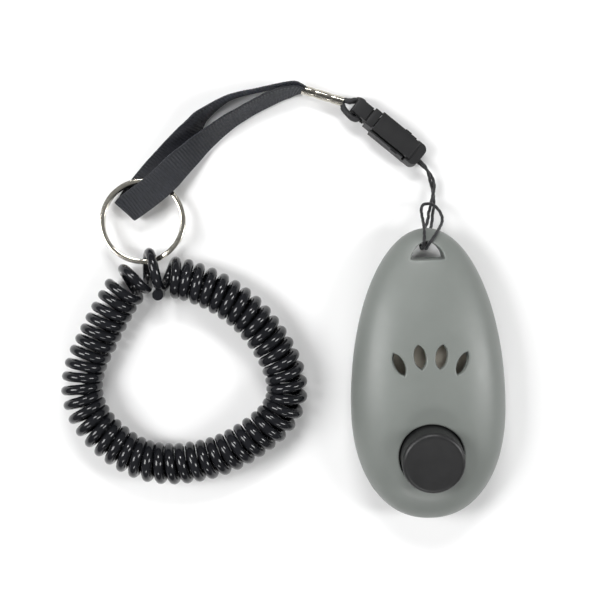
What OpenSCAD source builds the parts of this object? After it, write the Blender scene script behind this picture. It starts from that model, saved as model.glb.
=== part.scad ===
// Pet training clicker: an egg-shaped body with a thumb button over a click blade, a cord
// hitched through its slot, a quick-release buckle, a ribbon strap, a split ring and a
// coiled wrist band. Millimetres. The body lies on its back at z = 0 with +Z up through the
// button and +Y from the button end to the slot end.

/* [Body] */
// Length, button end to slot end
body_len = 68; // [60:0.5:80]
// Width at the widest place
body_w = 36; // [30:0.5:44]
// Distance of the widest place from the button end
body_widest = 26.7; // [22:0.1:32]
// Height of the front shell above the parting plane
front_h = 9; // [7:0.1:12]
// Depth of the rear shell below the parting plane
rear_h = 7; // [5:0.1:9]
// Wall thickness of both shells
wall = 1.8; // [1.2:0.1:2.6]
// Depth of the thumb dish round the button
dish_depth = 0.9; // [0:0.1:1.5]

/* [Slot and vents] */
// Half the width of the cord slot
slot_half = 3.85; // [2:0.05:6]
// Near side of the cord slot, measured along Y
slot_from = 27; // [25:0.1:29]
// Far side of the cord slot, measured along Y
slot_to = 31; // [29:0.1:31.5]
// Length of a vent
vent_len = 6.65; // [4:0.05:9]
// Width of an inner vent
vent_w = 2.75; // [1.5:0.05:4]

/* [Button and blade] */
// Radius of the button
button_r = 7.2; // [5:0.1:9]
// How far the button stands above the body
button_rise = 5; // [2:0.1:7]
// Lean of the button's axis towards the button end, in degrees
button_tilt = 8; // [0:0.5:12]
// Travel of the button
button_travel = 2.5; // [1:0.1:3]
// Underside of the click blade
blade_z = 8.6; // [8:0.1:9.5]
// Thickness of the click blade
blade_t = 0.5; // [0.3:0.05:0.8]

/* [Cords] */
// Diameter of the hitch cord
cord_d = 0.75; // [0.6:0.05:1.2]
// Diameter of the twisted pair
pair_d = 1.5; // [1.2:0.05:2.4]
// Diameter of the buckle's cord loop
loop_d = 1.4; // [1:0.05:1.6]

/* [Strap and ring] */
// Width of the ribbon
ribbon_w = 6.7; // [6:0.1:10]
// Thickness of the ribbon
ribbon_t = 0.5; // [0.4:0.05:0.8]
// Outer diameter of the crimped ferrule
ferrule_d = 2.2; // [2:0.1:3]
// Outer diameter of the split ring
ring_od = 20; // [16:0.5:24]
// Width of the ring's wire
ring_wire = 1.15; // [0.9:0.05:1.5]

/* [Wrist band] */
// Outer diameter of the coil
coil_od = 9.8; // [8:0.1:12]
// Diameter of the coil's strand
strand_d = 2.3; // [1.8:0.1:3]

/* [Hidden] */
$fn = 48;
half_w = body_w / 2;
half_l = body_len / 2;
mid_y = body_widest - half_l;
button_y = -18;
button_z = rear_h + front_h - 1.2;
pivot_y = 13;
coil_z = coil_od / 2;
wire_r = coil_od / 2 - strand_d / 2;
buckle_at = [-16.1, 62.35, 0.8];
buckle_turn = -40.1;
buckle_roll = -15;
ring_at = [-65.6, 36.9, 3.6];
ring_lean = 8.5;
black = [0.06, 0.06, 0.065];
grey = [0.52, 0.54, 0.51];
steel = [0.72, 0.70, 0.66];

// ---- small helpers ----
function unit(v) = v / norm(v);
function spow(v, p) = sign(v) * pow(abs(v), p);
function mix(a, b, t) = a + (b - a) * t;

// Smooth route through hand-placed points: n steps between each pair
function spline_at(p, i, t) =
    let (m = len(p) - 1,
         a = p[max(i - 1, 0)], b = p[i], c = p[min(i + 1, m)], d = p[min(i + 2, m)])
    0.5 * (2 * b + (c - a) * t + (2 * a - 5 * b + 4 * c - d) * t * t
           + (3 * b - a - 3 * c + d) * t * t * t);
function route(p, n) =
    [for (i = [0 : len(p) - 2], k = [0 : n - 1]) spline_at(p, i, k / n), p[len(p) - 1]];
function loop_at(p, i, t) =
    let (m = len(p), a = p[(i + m - 1) % m], b = p[i], c = p[(i + 1) % m], d = p[(i + 2) % m])
    0.5 * (2 * b + (c - a) * t + (2 * a - 5 * b + 4 * c - d) * t * t
           + (3 * b - a - 3 * c + d) * t * t * t);
function closed_route(p, n) =
    [for (i = [0 : len(p) - 1], k = [0 : n - 1]) loop_at(p, i, k / n)];

function tangents(q) =
    let (m = len(q) - 1)
    [for (i = [0 : m]) unit(q[min(i + 1, m)] - q[max(i - 1, 0)])];
// Side vectors carried along the route without twist
function carried(t, i, v) =
    i == len(t) ? [] :
    let (s = unit(v - t[i] * (v * t[i])))
    concat([s], carried(t, i + 1, s));

// Faces of a grid of rings, and the same faces turned over
function grid_faces(rings, sides) =
    [for (i = [0 : rings - 2], k = [0 : sides - 1])
        let (a = i * sides + k, b = i * sides + (k + 1) % sides)
        each [[a, b, b + sides], [a, b + sides, a + sides]]];
function turned(faces) = [for (f = faces) [for (i = [len(f) - 1 : -1 : 0]) f[i]]];

// Round tube along the points of q, closed with flat ends
module tube(q, d, sides, first) {
    t = tangents(q);
    s = carried(t, 0, first);
    n = len(q);
    pts = [for (i = [0 : n - 1], k = [0 : sides - 1])
        let (a = 360 * k / sides, u = s[i], v = cross(t[i], s[i]))
        q[i] + d / 2 * (cos(a) * u + sin(a) * v)];
    polyhedron(pts, turned(concat(grid_faces(n, sides),
        [[for (k = [sides - 1 : -1 : 0]) k]],
        [[for (k = [0 : sides - 1]) (n - 1) * sides + k]])), 6);
}

// Closed tube in a flat loop
module ring_tube(q, d, sides) {
    n = len(q);
    pts = [for (i = [0 : n - 1], k = [0 : sides - 1])
        let (t = unit(q[(i + 1) % n] - q[(i + n - 1) % n]),
             a = 360 * k / sides, v = cross(t, [0, 0, 1]))
        q[i] + d / 2 * (cos(a) * [0, 0, 1] + sin(a) * v)];
    faces = [for (i = [0 : n - 1], k = [0 : sides - 1])
        let (a = i * sides + k, b = i * sides + (k + 1) % sides,
             c = ((i + 1) % n) * sides + k, e = ((i + 1) % n) * sides + (k + 1) % sides)
        each [[a, c, e], [a, e, b]]];
    polyhedron(pts, faces, 6);
}

// Flat band: each row of q is x, y, z, bearing and lean of its width, and the width
module band(q, t) {
    n = len(q);
    at = [for (p = q) [p[0], p[1], p[2]]];
    g = tangents(at);
    pts = [for (i = [0 : n - 1])
        let (w0 = [cos(q[i][4]) * cos(q[i][3]), cos(q[i][4]) * sin(q[i][3]), sin(q[i][4])],
             w = unit(w0 - g[i] * (w0 * g[i])) * q[i][5] / 2,
             h = unit(cross(g[i], w)) * t / 2)
        each [at[i] + w + h, at[i] - w + h, at[i] - w - h, at[i] + w - h]];
    polyhedron(pts, turned(concat(grid_faces(n, 4),
        [[3, 2, 1, 0]], [[for (k = [0 : 3]) (n - 1) * 4 + k]])), 6);
}

// ---- the clicker's body ----
around = 40;
rings = 12;
function thin(y) = 1 - 0.15 * pow(max(0, y - mid_y) / (half_l - mid_y), 2);
function dish(x, y) =
    let (d = pow(x / 11, 2) + pow((y + 16.5) / 12.2, 2))
    d < 1 ? dish_depth * pow(1 - d, 1.5) * 1.2 : 0;
function oval(a, g, top) =
    let (up = sin(a) >= 0, n = up ? 2 : 2.2, l = up ? top - mid_y : half_l + mid_y - g)
    [(half_w - g) * spow(cos(a), 2 / n), l * spow(sin(a), 2 / n)];

function dome_faces(n) =
    concat(grid_faces(rings, around),
        [[for (k = [around - 1 : -1 : 0]) k]],
        [for (k = [0 : around - 1])
            [n - around + k, n - around + (k + 1) % around, n]]);

// Front half above the parting plane; g is how far in it lies, top its far end
module front_dome(g, top, foot, dished) {
    pts = [for (i = [0 : rings - 1], k = [0 : around - 1])
        let (f = 90 * i / rings, o = oval(360 * k / around, g, top) * pow(cos(f), 2 / 2.6),
             x = o[0], y = o[1] + mid_y,
             z = (front_h - g) * pow(sin(f), 2 / 2.2) * thin(y))
        [x, y, rear_h + (i == 0 ? foot : z - (dished ? dish(x, y) : 0))]];
    tip = [[0, mid_y, rear_h + front_h - g - (dished ? dish(0, mid_y) : 0)]];
    n = len(pts);
    polyhedron(concat(pts, tip), turned(dome_faces(n)), 6);
}

// Rear half below the parting plane, cut flat where it rests
module rear_dome(g, top, head) {
    deep = rear_h + 0.8 - g;
    pts = [for (i = [0 : rings - 1], k = [0 : around - 1])
        let (f = 90 * i / rings, o = oval(360 * k / around, g, top) * pow(cos(f), 2 / 2.6),
             z = min(deep * pow(sin(f), 2 / 2.2), rear_h - g))
        [o[0], o[1] + mid_y, i == 0 ? rear_h + head : rear_h - z]];
    tip = [[0, mid_y, g]];
    n = len(pts);
    polyhedron(concat(pts, tip), dome_faces(n), 6);
}

module slot_cut() {
    translate([0, 0, -1])
        linear_extrude(22)
            polygon([for (i = [0 : 20])
                let (c = cos(9 * i), h = slot_to - slot_from)
                [slot_half * spow(c, 2 / 1.7), slot_from + h * spow(sin(9 * i), 2 / 1.7)]]);
}

module vent_cut(x, y, w, turn) {
    r = (pow(vent_len / 2, 2) + pow(w / 2, 2)) / w;
    translate([x, y, rear_h + 1])
        rotate([0, 0, turn])
            linear_extrude(12)
                intersection() {
                    translate([r - w / 2, 0])
                        circle(r);
                    translate([w / 2 - r, 0])
                        circle(r);
                }
}

module on_button_axis() {
    translate([0, button_y, button_z])
        rotate([button_tilt, 0, 0])
            children();
}

module boss(x, y, r, from, to) {
    translate([x, y, from])
        cylinder(h = to - from, r = r);
}

module front_shell() color(grey) {
    difference() {
        front_dome(0, half_l, 0, true);
        difference() {
            front_dome(wall, 24.5, -1, true);
            boss(0, 20.4, 2.4, rear_h - 2, 20);
            boss(0, -29.2, 2.4, rear_h - 2, 20);
        }
        on_button_axis()
            translate([0, 0, -6])
                cylinder(h = 14, r = button_r + 0.3);
        slot_cut();
        vent_cut(2.45, 5.0, vent_w, -8.5);
        vent_cut(-2.45, 5.0, vent_w, 8.5);
        vent_cut(7.2, 3.4, vent_w - 0.4, -26);
        vent_cut(-7.2, 3.4, vent_w - 0.4, 26);
        boss(0, 20.4, 0.95, rear_h - 2, rear_h + 3.2);
        boss(0, -29.2, 0.95, rear_h - 2, rear_h + 2.4);
    }
}

module rear_shell() color(grey) {
    difference() {
        union() {
            difference() {
                rear_dome(0, half_l, 0);
                difference() {
                    rear_dome(wall, 24.5, 1);
                    boss(0, 20.4, 3.2, -1, rear_h + 2);
                    boss(0, -29.2, 3.2, -1, rear_h + 2);
                }
            }
            translate([-7, pivot_y - 1.5, 1])
                cube([14, 3.6, blade_z - 1.2]);
        }
        slot_cut();
        boss(0, 20.4, 1.1, -1, rear_h + 1);
        boss(0, 20.4, 2.2, -1, 3.2);
        boss(0, -29.2, 1.1, -1, rear_h + 1);
        boss(0, -29.2, 2.2, -1, 3.6);
        for (x = [-4, 4])
            boss(x, pivot_y, 0.75, 3.5, 12);
    }
}

module screw(head_r, head_h, shank_r, length) {
    difference() {
        cylinder(h = head_h, r = head_r);
        translate([0, 0, -0.1])
            for (a = [0, 90])
                rotate([0, 0, a])
                    translate([-head_r * 0.6, -0.2, 0])
                        cube([head_r * 1.2, 0.4, head_h * 0.6]);
    }
    translate([0, 0, head_h - 0.1])
        cylinder(h = length, r = shank_r);
}

module case_screws() color(steel) {
    translate([0, 20.4, 1.9])
        screw(1.9, 1.3, 1, 6.8);
    translate([0, -29.2, 2.3])
        screw(1.9, 1.3, 1, 5.6);
}

module clamp_screws() color(steel) {
    for (x = [-4, 4])
        translate([x, pivot_y, blade_z + blade_t + 2])
            mirror([0, 0, 1])
                screw(1.5, 0.9, 0.8, 5);
}

module blade_clamp() color(grey) {
    difference() {
        union() {
            translate([-7, pivot_y - 1.5, blade_z + blade_t + 0.2])
                cube([14, 3.6, 0.9]);
            for (x = [-7, 6])
                translate([x, pivot_y + 1, blade_z - 0.2])
                    cube([1, 1.1, 1.2]);
        }
        for (x = [-4, 4])
            boss(x, pivot_y, 1, 8, 12);
    }
}

module click_blade() color([0.45, 0.37, 0.30]) {
    difference() {
        union() {
            translate([0, 0, blade_z])
                linear_extrude(blade_t)
                    union() {
                        polygon([[-5.8, pivot_y + 1.6], [5.8, pivot_y + 1.6], [5.8, 9],
                                 [9.6, 7], [9.6, -1], [6, -8], [5, -17.5],
                                 [-5, -17.5], [-6, -8], [-9.6, -1], [-9.6, 7], [-5.8, 9]]);
                        translate([0, -17.5])
                            circle(5);
                    }
            translate([0, -4.5, blade_z])
                cylinder(h = blade_t + 0.5, r1 = 4.4, r2 = 3.2);
        }
        translate([0, -4.5, blade_z - 0.1])
            cylinder(h = 0.6, r1 = 4, r2 = 3.2);
        for (x = [-4, 4])
            boss(x, pivot_y, 1.3, blade_z - 1, blade_z + 2);
    }
}

module button_cap() color(black) on_button_axis() {
    rotate_extrude($fn = 64)
        union() {
            translate([0, -3])
                square([button_r, button_rise + 2.2]);
            square([button_r - 0.8, button_rise]);
            translate([button_r - 0.8, button_rise - 0.8])
                circle(0.8);
            translate([0, -4.2])
                square([button_r + 1, 1.25]);
            translate([0, -5.3])
                square([2, 1.2]);
        }
}

// ---- cords between the body and the buckle ----
hitch_points = [[1.15, 36.6, 2.6], [0.7, 34.9, 2.9], [-0.1, 33.2, 3.3], [-0.7, 31.8, 3.1],
    [-0.95, 30.5, 3.4], [-0.95, 29.4, 5.4], [-0.9, 29.3, 8], [-0.85, 30.1, 10],
    [-0.75, 31.1, 11.15], [-0.65, 32.2, 10.6], [-0.55, 33.5, 9.5], [-0.5, 34.7, 8],
    [-0.55, 35.9, 6.4], [-0.7, 37.4, 5.1], [-0.6, 38.8, 4.5], [0.3, 39.5, 4.4],
    [1.9, 39.3, 4.4], [3.2, 38.2, 4.5], [4, 36.6, 5], [3.9, 35.2, 6.2],
    [3.2, 34.1, 7.8], [2.4, 33.1, 9.4], [1.6, 32.1, 10.5], [0.8, 31.1, 11.15],
    [0.2, 30.1, 10], [0, 29.3, 8], [0.1, 29.4, 5.4], [0.5, 30.5, 3.4],
    [0.95, 31.8, 3.1], [1.4, 33.2, 3.3], [1.85, 34.9, 2.9], [2.1, 36.6, 2.6]];
lead_points = [[1.6, 37.1, 2.5], [2, 38.4, 2.2], [2.2, 39.7, 1.95], [2.4, 41.6, 1.75],
    [2.35, 43.7, 1.8], [1.65, 46, 2.3], [0.6, 47.8, 2.7], [-0.75, 49.15, 2.9],
    [-1.8, 49.98, 2.92]];

module hitch_cord() color(black)
    tube(route(hitch_points, 2), cord_d, 8, [1, 0, 0]);

module lead_cord() color(black)
    tube(route(lead_points, 2), pair_d, 10, [1, 0, 0]);

// ---- the buckle, drawn along X from its head ----
module at_buckle() {
    translate(buckle_at)
        rotate([0, 0, buckle_turn])
            rotate([buckle_roll, 0, 0])
                children();
}

module buckle_body() color(black) at_buckle() {
    difference() {
        union() {
            translate([6.6, -2.9, 0])
                cube([10.6, 5.8, 1.5]);
            translate([6.6, -2.4, 0])
                cube([10.9, 4.8, 4]);
            translate([16.9, -2.9, 0])
                cube([1.3, 5.8, 3.4]);
            intersection() {
                translate([18.1, -2.9, 0])
                    cube([1.8, 5.8, 3.4]);
                translate([15.9, 0, -1])
                    cylinder(h = 6, r = 4);
            }
        }
        translate([6.5, -1.35, 1.95])
            cube([8.6, 2.7, 1.2]);
        for (y = [-3, 2])
            translate([6.5, y, 1.5])
                cube([10.2, 1, 1.8]);
        translate([15, -0.8, 2])
            rotate([0, 90, 0])
                cylinder(h = 6, r = pair_d / 2 + 0.1);
    }
}

module buckle_insert() color(black) at_buckle() {
    difference() {
        union() {
            translate([0, -1.9, 0.3])
                cube([4.15, 3.8, 3.5]);
            translate([4.1, -1.7, 0.6])
                cube([0.5, 3.4, 2.9]);
            translate([4.5, -2.3, 0.3])
                cube([2, 4.6, 3.5]);
            translate([6.2, -1.2, 2.05])
                cube([8.2, 2.4, 1]);
        }
        difference() {
            translate([-1, -3, 1.15])
                cube([4.6, 6, 1.7]);
            translate([0.9, -0.9, 1])
                cylinder(h = 2, r = 0.6);
        }
    }
}

module latch(s) {
    translate([6.45, s > 0 ? 2.5 : -2.95, 1.65])
        cube([9.8, 0.45, 1.5]);
    translate([13, s > 0 ? 2.8 : -3.2, 1.65])
        cube([1.6, 0.4, 1.5]);
}

module buckle_latch_left() color(black) at_buckle() latch(1);

module buckle_latch_right() color(black) at_buckle() latch(-1);

loop_points = [[-0.4, 1.05, 2], [0.6, 1.9, 2], [1.8, 1.7, 2], [2.6, 0.5, 2],
    [2.75, -1, 2], [2.5, -2.3, 2], [1.4, -2.75, 2], [0, -2.6, 2], [-1.4, -2.3, 2],
    [-2.3, -1.9, 2], [-2.2, -0.9, 2], [-1.4, 0, 2]];

module link_loop() color(black) at_buckle()
    ring_tube(closed_route(loop_points, 3), loop_d, 8);

// ---- the strap ----
module crimp_ferrule() color(steel)
    translate([-18.3, 63.55, 2.7])
        rotate([0, -90, -18])
            difference() {
                cylinder(h = 9.9, r = ferrule_d / 2);
                translate([0, 0, -1])
                    cylinder(h = 12, r = ferrule_d / 2 - 0.3);
                translate([0, -0.1, -1])
                    cube([3, 0.2, 12]);
            }

ribbon_rows = [[-27, 66.2, 2.4, -72, -75, 2], [-28.6, 66.3, 2.8, -74, -73, 4.4],
    [-30.2, 66.1, 3.3, -76, -71, 6.2], [-32.3, 65.7, 3.5, -75, -69, 6.7],
    [-34.8, 64.8, 3.6, -72, -66, 6.7], [-37.4, 63.6, 3.6, -68, -66, 6.7],
    [-40, 62.3, 3.6, -63, -66, 6.7], [-42.3, 61, 3.6, -58, -65, 6.7],
    [-44.6, 59.7, 3.6, -55, -62, 6.7], [-46.9, 58.1, 3.6, -52, -59, 6.7],
    [-49.3, 56.3, 3.7, -49, -54, 6.7], [-51.7, 54.4, 3.9, -47, -47, 6.7],
    [-54, 52.3, 4.2, -45, -38, 6.7], [-55.9, 50.6, 4.5, -45, -30, 6.7],
    [-57.7, 48.9, 4.8, -45, -20, 6.7], [-59.4, 47.2, 5.1, -45, -10, 6.7],
    [-61, 45.7, 5.2, -43, -6, 6.7], [-62.9, 44.2, 5.1, -42, -5, 6.7],
    [-65.1, 42.6, 4.9, -42, -5, 6.7], [-67.2, 41.2, 4.5, -43, -4, 6.7],
    [-68.7, 40.2, 4, -43, -2, 6.6], [-69.8, 39.4, 2.5, -43, 0, 6.3],
    [-69, 40.1, 1, -42, 0, 6.5], [-67.8, 42.1, 0.45, -41, 0, 6.7],
    [-66, 44.3, 0.4, -43, 0, 6.7], [-64.2, 46.4, 0.5, -44, -2, 6.7],
    [-62.1, 48.7, 0.8, -44, -6, 6.7], [-59.9, 50.9, 1.3, -44, -12, 6.7],
    [-57.9, 53, 1.8, -44, -20, 6.7], [-56.4, 54.6, 2.3, -45, -29, 6.7],
    [-54.1, 57.3, 3, -44, -43, 6.7], [-52.9, 59, 3.3, -45, -57, 6.7],
    [-51.6, 60.6, 3.5, -47, -66, 6.7], [-49.4, 62.3, 3.6, -50, -75, 6.7],
    [-47.1, 63.8, 3.6, -56, -81, 6.7], [-44.8, 65, 3.6, -62, -85, 6.7],
    [-42, 65.8, 3.6, -68, -87, 6.7], [-39.1, 66.35, 3.6, -72, -88, 6.7],
    [-35.8, 67, 3.6, -74, -88, 6.7], [-32.5, 67.6, 3.6, -76, -87, 6.6],
    [-29.9, 67.9, 3.3, -76, -84, 5.4], [-28.4, 67.5, 2.8, -74, -80, 4],
    [-27, 66.9, 2.4, -72, -75, 2]];

module ribbon_strap() color([0.07, 0.075, 0.09])
    band(route(ribbon_rows, 2), ribbon_t);

// ---- the ring ----
module split_ring() color(steel)
    translate(ring_at)
        rotate([-ring_lean, 0, 0])
            difference() {
                rotate_extrude($fn = 72)
                    translate([ring_od / 2 - ring_wire, 0])
                        polygon([[0, -0.7], [0.25, -0.95], [0.9, -0.95], [ring_wire, -0.7],
                                 [ring_wire, -0.2], [0.95, 0], [ring_wire, 0.2],
                                 [ring_wire, 0.7], [0.9, 0.95], [0.25, 0.95], [0, 0.7],
                                 [0, 0.2], [0.2, 0], [0, -0.2]]);
                rotate([0, 0, 128])
                    translate([ring_od / 2 - 2, 0, 0])
                        cube([3, 0.4, 2]);
                rotate([0, 0, -48])
                    translate([ring_od / 2 - 2, 0, -2])
                        cube([3, 0.4, 2]);
            }

// ---- the wrist band ----
// Middle of the strand's coil at each whole turn near the ring
turn_points = [[-70.9, 20.2], [-68.2, 23], [-64, 25.9], [-58.8, 23.8], [-56.4, 23.3]];
outward = [[-0.75, 0.66], [-0.6, 0.8], [-0.05, 1], [0.2, 0.98], [0.35, 0.94]];
turn_steps = 14;

module coil_link_turn() color(black) {
    mid = route(turn_points, turn_steps);
    out = route(outward, turn_steps);
    q = [for (i = [0 : len(mid) - 1])
        let (a = 360 * i / turn_steps, o = unit(out[i]))
        [mid[i][0] + wire_r * cos(a) * o[0], mid[i][1] + wire_r * cos(a) * o[1],
         coil_z + wire_r * sin(a)]];
    tube(q, strand_d, 8, [0.6, -0.8, 0]);
}

wrist_points = [[-71.3, 19.6], [-74.3, 14.6], [-77.2, 9.2], [-79.8, 4], [-81, -1.4],
    [-80.3, -6.4], [-78, -10.8], [-74.6, -14.5], [-70.8, -17.4], [-66.6, -19.4],
    [-61.6, -20.3], [-56.2, -20.1], [-50.4, -19], [-45.2, -16.9], [-40.4, -14],
    [-36.2, -10.6], [-33.4, -6.2], [-33, -1.2], [-34.6, 4.2], [-37.6, 9.6], [-41.6, 14.6],
    [-46.2, 18.4], [-51, 21.2], [-56, 23.2]];

module wrist_coil() color(black)
    tube([for (p = route(wrist_points, 2)) [p[0], p[1], coil_z]], coil_od, 12, [0, 0, 1]);

module coil_join() color(black)
    translate([-62.3, 19.9, coil_z - 2.2])
        rotate([0, 0, 30])
            cylinder(h = 4.4, r = 1.3);

front_shell();
rear_shell();
case_screws();
blade_clamp();
clamp_screws();
click_blade();
button_cap();
hitch_cord();
lead_cord();
buckle_body();
buckle_insert();
buckle_latch_left();
buckle_latch_right();
link_loop();
crimp_ferrule();
ribbon_strap();
split_ring();
coil_link_turn();
wrist_coil();
coil_join();
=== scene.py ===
import math
from collections import namedtuple

import bmesh
import bpy
import numpy as np
from mathutils import Matrix, Vector
from mathutils.geometry import delaunay_2d_cdt


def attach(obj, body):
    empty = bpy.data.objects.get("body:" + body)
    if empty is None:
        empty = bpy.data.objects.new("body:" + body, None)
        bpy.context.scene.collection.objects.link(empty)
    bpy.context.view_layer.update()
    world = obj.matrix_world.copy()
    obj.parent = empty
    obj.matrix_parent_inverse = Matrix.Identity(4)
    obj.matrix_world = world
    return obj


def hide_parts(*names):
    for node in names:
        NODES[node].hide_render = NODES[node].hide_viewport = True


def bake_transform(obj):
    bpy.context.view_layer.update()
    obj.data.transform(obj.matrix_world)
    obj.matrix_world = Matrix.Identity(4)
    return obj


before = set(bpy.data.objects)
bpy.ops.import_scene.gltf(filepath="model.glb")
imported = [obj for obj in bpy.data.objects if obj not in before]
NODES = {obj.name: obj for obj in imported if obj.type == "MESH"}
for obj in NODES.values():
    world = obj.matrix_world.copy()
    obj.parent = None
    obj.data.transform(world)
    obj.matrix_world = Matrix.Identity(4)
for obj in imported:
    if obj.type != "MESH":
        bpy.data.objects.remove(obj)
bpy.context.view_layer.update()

# Every shape is written in millimetres in the row frame, and scaled to metres as it is made.
MM = 0.001
UP = (0, 0, 1)
scene = bpy.context.scene


# ---- small helpers -------------------------------------------------------------------------
def unit(v):
    v = np.asarray(v, float)
    return v / np.linalg.norm(v, axis=-1, keepdims=True)


def signed_power(v, p):
    return np.sign(v) * np.abs(v) ** p


def smooth(a, b, x):
    """0 at a, 1 at b, and level at both."""
    t = np.clip((np.asarray(x, float) - a) / (b - a), 0, 1)
    return t * t * (3 - 2 * t)


def hump(x, width):
    """1 where x is 0, and near 0 from about twice the width on."""
    return np.exp(-(x / width) ** 2)


def spline(p, n):
    """A Catmull-Rom route through given points, with n steps from each to the next."""
    p = np.asarray(p, float)
    last = len(p) - 1
    out = []
    for i in range(last):
        a, b, c, d = p[max(i - 1, 0)], p[i], p[i + 1], p[min(i + 2, last)]
        for t in np.arange(n) / n:
            out.append(0.5 * (2 * b + (c - a) * t + (2 * a - 5 * b + 4 * c - d) * t * t
                              + (3 * b - a - 3 * c + d) * t ** 3))
    out.append(p[-1])
    return np.array(out)


def lengths(p):
    """The distance along a route at each of its rows."""
    return np.concatenate([[0], np.cumsum(np.linalg.norm(np.diff(p[:, :3], axis=0), axis=1))])


def evenly(p, step):
    """The same route, with its rows about one step apart."""
    s = lengths(p)
    at = np.linspace(0, s[-1], max(2, int(s[-1] / step) + 1))
    return np.stack([np.interp(at, s, p[:, k]) for k in range(p.shape[1])], axis=1)


def sides_of(p, first):
    """Two side vectors at each row of a route, carried along it without twist."""
    tangents = unit(np.gradient(p, axis=0))
    side, v = [], np.asarray(first, float)
    for d in tangents:
        v = unit(v - d * np.dot(v, d))
        side.append(v)
    side = np.array(side)
    return side, np.cross(tangents, side)


def moved(points, place):
    p = np.asarray(points, float)
    return p @ np.array(place.to_3x3()).T + np.array(place.translation)


def add_object(name, data):
    ob = bpy.data.objects.new(name, data)
    scene.collection.objects.link(ob)
    return ob


def new_mesh(name, verts, faces, mat, angle=None, place=None):
    """A smooth mesh. Where faces meet at more than angle, in degrees, the edge stays sharp."""
    verts = np.asarray(verts, float)
    if place is not None:
        verts = moved(verts, place)
    me = bpy.data.meshes.new(name)
    me.from_pydata((verts * MM).tolist(), [], [list(map(int, f)) for f in faces])
    me.polygons.foreach_set("use_smooth", [True] * len(me.polygons))
    if angle:
        me.set_sharp_from_angle(angle=math.radians(angle))
    me.materials.append(mat)
    return add_object(name, me)


def face_outwards(ob):
    """Takes out points that no face uses, and turns every face outwards."""
    bm = bmesh.new()
    bm.from_mesh(ob.data)
    bmesh.ops.delete(bm, geom=[v for v in bm.verts if not v.link_faces], context="VERTS")
    bmesh.ops.recalc_face_normals(bm, faces=bm.faces)
    bm.to_mesh(ob.data)
    bm.free()


def grid_faces(rows, cols, wrap=True):
    """The faces between rows of points. With wrap, each row is closed into a ring."""
    f = []
    for i in range(rows - 1):
        for k in range(cols if wrap else cols - 1):
            here, there, after = i * cols, (i + 1) * cols, (k + 1) % cols
            f.append((here + k, here + after, there + after, there + k))
    return f


def swept_faces(rows, cols):
    """The side faces and both end faces of a row of rings."""
    first, last = range(cols), range((rows - 1) * cols, rows * cols)
    return grid_faces(rows, cols) + [tuple(first)[::-1], tuple(last)]


def tube(name, path, radius, sides, mat):
    """A tube along path. radius(s, angle) gives its radius in millimetres at each place."""
    u, v = sides_of(path, UP)
    a = np.arange(sides) * 2 * math.pi / sides
    ss, aa = np.meshgrid(lengths(path), a, indexing="ij")
    pts = path[:, None] + radius(ss, aa)[..., None] * (np.cos(aa)[..., None] * u[:, None]
                                                       + np.sin(aa)[..., None] * v[:, None])
    n = len(path)
    pts = np.concatenate([pts.reshape(-1, 3), path[:1], path[-1:]])
    faces = grid_faces(n, sides)
    faces += [((k + 1) % sides, k, n * sides) for k in range(sides)]
    faces += [((n - 1) * sides + k, (n - 1) * sides + (k + 1) % sides, n * sides + 1)
              for k in range(sides)]
    return new_mesh(name, pts, faces, mat)


def lathe(name, profile, sides, mat, place, angle):
    """A solid of revolution about Z from (radius, height) rows, from bottom to top."""
    a = np.arange(sides) * 2 * math.pi / sides
    p = np.array(profile, float)
    pts = np.stack([p[:, None, 0] * np.cos(a), p[:, None, 0] * np.sin(a),
                    np.repeat(p[:, None, 1], sides, 1)], -1).reshape(-1, 3)
    return new_mesh(name, pts, swept_faces(len(p), sides), mat, angle, place)


def arc(cx, cy, r, a0, a1, n):
    """n steps along an arc from a0 to a1, in degrees."""
    return [(cx + r * math.cos(math.radians(a0 + (a1 - a0) * i / n)),
             cy + r * math.sin(math.radians(a0 + (a1 - a0) * i / n))) for i in range(n + 1)]


# ---- materials -----------------------------------------------------------------------------
class Shader:
    """A Principled material with its nodes laid on by name."""

    def __init__(self, name, **sockets):
        self.mat = bpy.data.materials.new(name)
        self.mat.use_nodes = True
        self.tree = self.mat.node_tree
        self.bsdf = self.tree.nodes["Principled BSDF"]
        for k, v in sockets.items():
            self.bsdf.inputs[k.replace("_", " ")].default_value = v
        self.coord = self.tree.nodes.new("ShaderNodeTexCoord").outputs["Object"]

    def node(self, kind, links, **values):
        n = self.tree.nodes.new("ShaderNode" + kind)
        for k, v in values.items():
            n.inputs[k.replace("_", " ")].default_value = v
        for socket, source in links.items():
            self.tree.links.new(source, n.inputs[socket])
        return n

    def noise(self, scale, detail, rough=0.6, stretch=None):
        where = self.coord
        if stretch:
            where = self.node("Mapping", {"Vector": where}, Scale=stretch).outputs[0]
        return self.node("TexNoise", {"Vector": where}, Scale=scale, Detail=detail,
                         Roughness=rough).outputs["Fac"]

    def ramp(self, fac, dark, light, low=0.3, high=0.7):
        """dark where fac is up to low, light where it is from high on."""
        n = self.node("ValToRGB", {"Fac": fac})
        for stop, at, colour in zip(n.color_ramp.elements, (low, high), (dark, light)):
            stop.position = at
            stop.color = (*colour, 1)
        return n.outputs["Color"]

    def span(self, fac, low, high):
        """A value from low to high, as fac goes over the middle of its range."""
        return self.node("MapRange", {"Value": fac}, From_Min=0.3, From_Max=0.7, To_Min=low,
                         To_Max=high).outputs["Result"]

    def to(self, socket, source):
        self.tree.links.new(source, self.bsdf.inputs[socket])

    def bump(self, *heights):
        """Each height is (source, strength, distance in metres)."""
        last = None
        for source, strength, distance in heights:
            n = self.node("Bump", {"Height": source}, Strength=strength, Distance=distance)
            if last is not None:
                self.tree.links.new(last, n.inputs["Normal"])
            last = n.outputs["Normal"]
        self.tree.links.new(last, self.bsdf.inputs["Normal"])


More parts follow.
